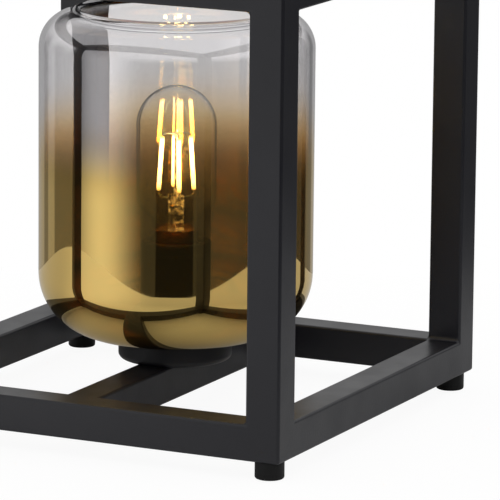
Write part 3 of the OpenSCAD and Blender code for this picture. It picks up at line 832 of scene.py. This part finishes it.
def stem():
    """The stem: rings x = a(h) cos t, y = b(h) sin t about the lamp's axis, from its foot up. A round tube
    (a = b) is pinched to a flat press (b < a) by s² (3 - 2 s), s running from 0 to 1, and carries a thin
    rod with a ball on top."""
    low, high = span("bulb_stem")
    press = span("filament_rods")[0][2] - 2.6 * MM
    foot_h = low[2] + np.array([0, 0, 0, 1, 1.8, 3.2, 5, 8]) * MM
    foot_r = np.array([0, 8.0, 11.2, 11.2, 7.0, 5.0, 4.3, 4.2]) * MM
    tube_h = np.linspace(foot_h[-1], press, 14)[1:]
    along = (tube_h - foot_h[-1]) / (press - foot_h[-1])
    s = np.clip((along - 0.35) / 0.4, 0, 1)
    pinch = s ** 2 * (3 - 2 * s)
    tube_a, tube_b = (4.2 + 0.9 * pinch) * MM, (4.2 - 2.9 * pinch) * MM
    neck_h = press + np.array([0.5, 0.8]) * MM
    neck_a, neck_b = np.array([3.2, 1.6]) * MM, np.array([1.25, 1.15]) * MM
    rod_h = np.linspace(press + 1.2 * MM, high[2] - 3.6 * MM, 8)
    rod_r = np.full(len(rod_h), 1.1 * MM)
    ball_r = 1.8 * MM
    ball = arc(0.0, high[2] - ball_r, ball_r, -52, 90, 14)
    ball[-1, 0] = 0.0
    h = np.concatenate([foot_h, tube_h, neck_h, rod_h, ball[:, 1]])
    a = np.concatenate([foot_r, tube_a, neck_a, rod_r, ball[:, 0]])
    b = np.concatenate([foot_r, tube_b, neck_b, rod_r, ball[:, 0]])
    return rings("glass_stem", equal_turns(48), a, b, h, loop_v=False, smooth_angle=60.0)


class LAMP_OT_bulb_cap(bpy.types.Operator):
    """The bulb's brass cap with its rolled thread, its insulator and tip"""
    bl_idname = "lamp.bulb_cap"
    bl_label = "Bulb Cap"

    def execute(self, context):
        s = context.scene.lamp_bulb
        show(threaded_cap(s), metal("cap_brass", s.cap, 0.22), "bulb", "cap_brass", "bulb_cap")
        dress(moulded("insulator_glass", (0.01, 0.01, 0.012), 0.12), "bulb_insulator")
        dress(metal("tip_solder", (0.62, 0.62, 0.63), 0.35), "bulb_tip")
        return {"FINISHED"}


def threaded_cap(s):
    """The cap: outside, r(t, z) = R - d/2 + d/2 cos(2πz/p - t), a right-hand thread of pitch p and depth d
    that fades to the root at its lower end and to the plain skirt above; inside, the same less the metal."""
    low, high, r = round_span("bulb_cap")
    sheet, lip, skirt_bore = 0.6 * MM, 0.5 * MM, 12.55 * MM
    t = equal_turns(72)
    lip_turns = np.radians([0, 30, 60, 90])
    thread_top = low[2] + s.thread_height
    z = np.concatenate([np.linspace(low[2], thread_top, 61), thread_top + np.array([0.6, 1.2]) * MM,
                        high[2] - lip + lip * np.sin(lip_turns)])
    up = (z - low[2])[None]
    start = np.clip(up / s.pitch, 0, 1)
    end = np.clip((s.thread_height - up) / (0.5 * s.pitch), 0, 1)
    wave = 0.5 + 0.5 * np.cos(TURN * up / s.pitch - t[:, None])
    crest = 1 - (1 - wave * start) * np.sqrt(end)
    outer = r - s.thread * (1 - crest)
    outer[:, -len(lip_turns):] -= lip * (1 - np.cos(lip_turns))
    bore = np.where(z < thread_top + 1 * MM, r - s.thread - sheet, skirt_bore)
    radius = np.concatenate([outer, np.broadcast_to(bore[::-1], outer.shape)], axis=1)
    return rings("threaded_cap", t, radius, radius, np.concatenate([z, z[::-1]]), smooth_angle=50.0)


def filament_lines():
    """The lower and upper end of each filament's axis. The heights are read from the rods' solids. The rods
    stand at equal turns about the lamp's axis and lean inwards, as they do in the construction."""
    low, high = (corner[2] for corner in span("filament_rods"))
    count, first = 4, math.radians(36)
    foot_r, head_r = 10 * MM, 8 * MM
    inset = 0.1 * MM
    ends = []
    for turn in first + equal_turns(count):
        way = np.array([math.cos(turn), math.sin(turn), 0.0])
        foot = np.array([LAMP_X, 0, low + inset]) + foot_r * way
        head = np.array([LAMP_X, 0, high - inset]) + head_r * way
        ends.append((foot, head))
    return ends


class LAMP_OT_filaments(bpy.types.Operator):
    """The glowing filaments and the wires that carry them"""
    bl_idname = "lamp.filaments"
    bl_label = "Filaments"

    def execute(self, context):
        s = context.scene.lamp_bulb
        low, high = span("filament_rods")
        lines = filament_lines()
        short = 0.035       # the share of its line that a strip leaves free at each end, before its dome
        u = np.linspace(short, 1.0 - short, 24)[:, None]
        rods = tubes("filament_strips", [a + (b - a) * u for a, b in lines], 1.2 * MM, 16)
        lit = glowing_phosphor("lit_phosphor", s, low[2], high[2])
        glowing = show(rods, lit, "bulb", "filament_glow", "filament_rods")
        glowing.visible_diffuse = False
        nickel = metal("wire_nickel", (0.66, 0.62, 0.55), 0.25)
        show(support_wires(lines), nickel, "bulb", "zinc_steel", "filament_wires")
        return {"FINISHED"}


def support_wires(lines):
    """Wires from the stem out to each filament's foot and from the stem's top to each filament's head."""
    axis = np.array([LAMP_X, 0.0, 0.0])
    up = np.array([0.0, 0.0, MM])
    # in millimetres: where a wire starts, from the axis and over the filament's end, how far it runs
    # outwards and up from there, and the heights over that end between which it comes in and stops
    foot_wire = (4.6, -3.8, 3.5, 0.3, -1.2, -0.2)
    head_wire = (1.6, 1.6, 3.4, 0.0, 0.9, 0.2)
    paths = []
    for ends in lines:
        way = ends[0] - axis
        way[2] = 0.0
        way *= MM / np.linalg.norm(way)
        for end, (off, over, out, rise, near, tip) in zip(ends, (foot_wire, head_wire)):
            start = axis + [0.0, 0.0, end[2]] + way * off + up * over
            bend = start + way * out + up * rise
            paths.append(curve_through([start, bend, end + up * near, end + up * tip]))
    return tubes("support_wires", paths, 0.35 * MM, 10)


# ---- stage -----------------------------------------------------------------------

# What the mirrors see around the lamp, at table height: the direction, half the width and the soft edge of
# each panel in degrees, and its brightness. A later panel covers an earlier one.
STUDIO_PANELS = {
    "softbox": (-129.0, 0.0, 41.0, 1.0),
    "side_gap": (-176.0, 14.5, 2.0, 0.165),
    "wall_gap": (156.0, 8.0, 1.0, 0.20),
    "side_wall": (168.0, 5.0, 2.5, 0.40),
    "far_wall": (84.0, 9.0, 3.0, 0.18),
    "backdrop": (122.0, 28.0, 4.0, 0.40),
    "camera_gap": (-64.5, 15.0, 1.0, 0.012),
}

# Heights over the table, as the sine of the angle, between which mirrors go over from the panels to the
# brightness above them.
STUDIO_RISE = (0.03, 0.42)

# Where the table's colour in mirrors is painted brightest, as painted light: the direction from the lamp,
# half the width and the soft edge, in degrees.
FLOOR_LIT = (-122.0, 3.0, 46.0)

# Metres between which the table's painted shade in mirrors changes: in front of the lamp, for the table near
# it, where it stands for the lamp's shadow, and from its foot outwards, where the near shade goes over to
# that by direction.
FLOOR_FRONT = (-0.05, 0.25)
FLOOR_OUT = (0.12, 0.25)


def panel(tree, direction, middle, half, soft):
    """1 within half of the middle direction about Z and 0 past its soft edge, from the angle between the
    level part of a direction and the panel's middle."""
    level = vector_maths(tree, "MULTIPLY", direction, (1.0, 1.0, 0.0))["Vector"]
    level = vector_maths(tree, "NORMALIZE", level)["Vector"]
    turn = math.radians(middle)
    dot = vector_maths(tree, "DOT_PRODUCT", level, (math.cos(turn), math.sin(turn), 0.0))["Value"]
    off = maths(tree, "ARCCOSINE", dot)
    return eased(tree, off, math.radians(half), math.radians(half + soft), 1.0, 0.0)


def white_table_painted_shade(name, s, ahead):
    """The table's white. The camera sees it lifted towards white, with the lamp's shadow on it. For mirrors
    its colour is painted dimmer: near the lamp behind its front, as a painted shadow of the lamp, and
    further out away from where it is lit most, as painted shade."""
    finish, tree, output, place = new_finish(name)
    forward = vector_maths(tree, "DOT_PRODUCT", place, ahead)["Value"]
    near = eased(tree, forward, *FLOOR_FRONT, s.floor_painted_shade, 1.0)
    far = blend(tree, panel(tree, place, *FLOOR_LIT), s.floor_painted_shade, 1.0)
    reach = vector_maths(tree, "LENGTH", place)["Value"]
    away = eased(tree, reach, *FLOOR_OUT, 0.0, 1.0)
    path = put(tree, "ShaderNodeLightPath").outputs
    # mirrors see the table's colour with painted shade and painted shadow; other rays see it plain white
    painted_shade_tone = blend(tree, path["Is Glossy Ray"], 1.0, blend(tree, away, near, far))
    paper = put(tree, "ShaderNodeBsdfDiffuse", {"Color": painted_shade_tone}).outputs[0]
    white = put(tree, "ShaderNodeEmission", {"Color": WHITE}).outputs[0]
    lift = maths(tree, "MULTIPLY", path["Is Camera Ray"], s.floor_white)
    both = put(tree, "ShaderNodeMixShader", {0: lift, 1: paper, 2: white}).outputs[0]
    tree.links.new(both, output.inputs[0])
    return finish


class LAMP_OT_stage(bpy.types.Operator):
    """The pale floor, the soft studio light and the camera"""
    bl_idname = "lamp.stage"
    bl_label = "Stage"

    def execute(self, context):
        s = context.scene.lamp_stage
        self.add_floor(s)
        self.add_world(context.scene, s)
        self.add_camera(context.scene, s)
        context.scene.view_settings.view_transform = "Standard"
        return {"FINISHED"}

    def add_floor(self, s):
        """A white table with the outline r(t) = ((|cos t| / depth)^n + (|sin t| / width)^n)^(-1/n) about its
        middle."""
        t = equal_turns(144)
        n = s.floor_round
        shape = (np.abs(np.cos(t)) / s.floor_depth) ** n + (np.abs(np.sin(t)) / s.floor_width) ** n
        edge = shape ** (-1 / n)
        rings = np.linspace(0.0, 1.0, 9)
        turn = t + s.floor_turn
        ahead = (math.cos(s.floor_turn), math.sin(s.floor_turn), 0.0)
        x = np.outer(edge * np.cos(turn), rings) + s.floor_ahead * ahead[0]
        y = np.outer(edge * np.sin(turn), rings) + s.floor_ahead * ahead[1]
        mesh = surface("floor", np.stack([x, y, np.zeros_like(x)], axis=2), loop_v=False)
        mesh.materials.append(white_table_painted_shade("floor_white", s, ahead))
        floor = bpy.data.objects.new("floor", mesh)
        bpy.context.scene.collection.objects.link(floor)

    def add_world(self, scene, s):
        """A plain white surround. Mirrors see the studio instead: dim at table height apart from its panels,
        and bright above."""
        world = bpy.data.worlds.new("studio")
        scene.world = world
        world.use_nodes = True
        tree = world.node_tree
        tree.nodes.clear()
        direction = put(tree, "ShaderNodeTexCoord").outputs["Generated"]
        level = s.dim
        for middle, half, soft, bright in STUDIO_PANELS.values():
            level = blend(tree, panel(tree, direction, middle, half, soft), level, bright)
        rise = put(tree, "ShaderNodeSeparateXYZ", {"Vector": direction}).outputs["Z"]
        level = blend(tree, eased(tree, rise, *STUDIO_RISE, 0.0, 1.0), level, s.up)
        # light that was mirrored on its way sees the studio, unless a dull surface gathers it
        path = put(tree, "ShaderNodeLightPath").outputs
        once = maths(tree, "MINIMUM", path["Glossy Depth"], 1.0)
        mirrored = maths(tree, "MULTIPLY", once, maths(tree, "SUBTRACT", 1.0, path["Is Diffuse Ray"]))
        strength = blend(tree, mirrored, s.light, level)
        background = put(tree, "ShaderNodeBackground", {"Color": WHITE, "Strength": strength})
        put(tree, "ShaderNodeOutputWorld", {"Surface": background.outputs[0]})

    def add_camera(self, scene, s):
        """A camera that looks along yaw and pitch, turned about its own axis by roll."""
        sin, cos = math.sin, math.cos
        ahead = Vector((-sin(s.yaw) * cos(s.pitch), cos(s.yaw) * cos(s.pitch), -sin(s.pitch)))
        right = Vector((cos(s.yaw), sin(s.yaw), 0.0))
        up = right.cross(ahead)
        side = cos(s.roll) * right + sin(s.roll) * up
        top = cos(s.roll) * up - sin(s.roll) * right
        data = bpy.data.cameras.new("view")
        data.lens = s.lens
        data.clip_end = 20.0
        camera = bpy.data.objects.new("view", data)
        scene.collection.objects.link(camera)
        turn = Matrix((side, top, -ahead)).transposed().to_4x4()
        camera.matrix_world = Matrix.Translation(s.camera_at) @ turn
        scene.camera = camera


# ---- panel and registration ------------------------------------------------------

OPERATORS = (LAMP_OT_cage, LAMP_OT_feet, LAMP_OT_cup, LAMP_OT_jar, LAMP_OT_holder, LAMP_OT_bulb_glass,
             LAMP_OT_bulb_cap, LAMP_OT_filaments, LAMP_OT_stage)


class LAMP_PT_panel(bpy.types.Panel):
    """Lists the lamp's pieces and their settings"""
    bl_label = "Lantern Table Lamp"
    bl_idname = "LAMP_PT_panel"
    bl_space_type = "VIEW_3D"
    bl_region_type = "UI"
    bl_category = "Lamp"

    def draw(self, context):
        for operator in OPERATORS:
            self.layout.operator(operator.bl_idname)
        for name, group in SETTINGS.items():
            box = self.layout.box()
            for key in group.__annotations__:
                box.prop(getattr(context.scene, name), key)


def register():
    """Registers the settings, the operators and the panel."""
    for group in SETTINGS.values():
        bpy.utils.register_class(group)
    for name, group in SETTINGS.items():
        setattr(bpy.types.Scene, name, bpy.props.PointerProperty(type=group))
    for cls in (*OPERATORS, LAMP_PT_panel):
        bpy.utils.register_class(cls)


def unregister():
    """Takes them out again."""
    for cls in (LAMP_PT_panel, *reversed(OPERATORS)):
        bpy.utils.unregister_class(cls)
    for name in SETTINGS:
        delattr(bpy.types.Scene, name)
    for group in reversed(SETTINGS.values()):
        bpy.utils.unregister_class(group)


def main():
    """Builds the lamp and its stage."""
    register()
    for operator in OPERATORS:
        space, name = operator.bl_idname.split(".")
        getattr(getattr(bpy.ops, space), name)()


if __name__ == "__main__":
    main()
